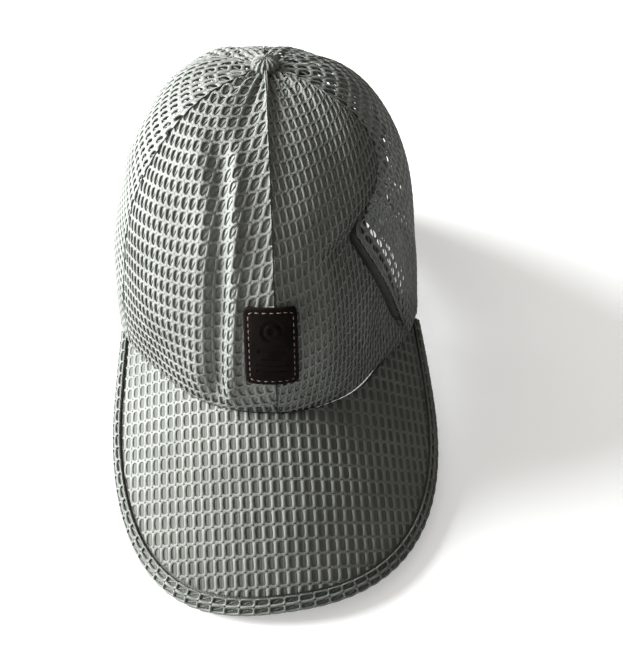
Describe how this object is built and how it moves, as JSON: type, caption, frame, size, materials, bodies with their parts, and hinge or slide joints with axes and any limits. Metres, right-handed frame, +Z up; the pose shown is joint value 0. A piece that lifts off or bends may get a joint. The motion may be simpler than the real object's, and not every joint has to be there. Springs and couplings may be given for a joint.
{
  "type": "netting baseball cap",
  "caption": "Soft panelled baseball cap of honeycomb netting with a long arched bill, a stitched leather patch and an adjustable strap with a cam clasp.",
  "frame": {"origin": "on the table, under the middle of the whole cap's box", "axes": "+Z up, the bill points to -Y, the strap and clasp are at +Y, +X is the wearer's left when the cap is worn"},
  "size_m": [0.162, 0.2851, 0.1546],
  "materials": {
    "netting": "open honeycomb knit, soft sheen",
    "lining": "plain fine knit",
    "tape": "ribbed woven tape",
    "sweatband_cloth": "brushed twill",
    "label_cloth": "satin woven",
    "button_metal": "plain pressed",
    "clasp_metal": "satin antique",
    "board_plastic": "matt",
    "rim_thread": "spun thread",
    "patch_leather": "smooth, debossed",
    "patch_thread": "waxed thread"
  },
  "bodies": {
    "cap": {"front_left_panel": "netting", "front_right_panel": "netting", "side_left_panel": "netting", "side_right_panel": "netting", "back_left_panel": "netting", "back_right_panel": "netting", "front_left_lining": "lining", "front_right_lining": "lining", "front_seam_tape": "tape", "left_seam_tape": "tape", "right_seam_tape": "tape", "back_left_tape": "tape", "back_right_tape": "tape", "back_seam_tape": "tape", "arch_binding": "tape", "sweatband": "sweatband_cloth", "size_label": "label_cloth", "button_cover": "netting", "button_shell": "button_metal", "button_prongs": "button_metal", "bill_board": "board_plastic", "bill_top_cloth": "netting", "bill_under_cloth": "netting", "bill_edge_band": "netting", "bill_edge_stitching": "rim_thread", "leather_patch": "patch_leather", "patch_stitching": "patch_thread", "long_strap": "tape", "strap_loop": "tape", "clasp_frame": "clasp_metal", "clasp_pin": "clasp_metal"},
    "lever": {"cam_lever": "clasp_metal"},
    "keeper": {"strap_keeper": "tape"}
  },
  "joints": [
    {"name": "lever_hinge", "type": "hinge", "parent": "cap", "child": "lever", "pos_m": [0.00596, 0.14099, 0.011], "axis": [0, 0, 1], "range_deg": [0, 110]},
    {"name": "keeper_slide", "type": "hinge", "parent": "cap", "child": "keeper", "pos_m": [0, 0.07929, 0.011], "axis": [0, 0, 1], "range_deg": [-5, 5]}
  ]
}
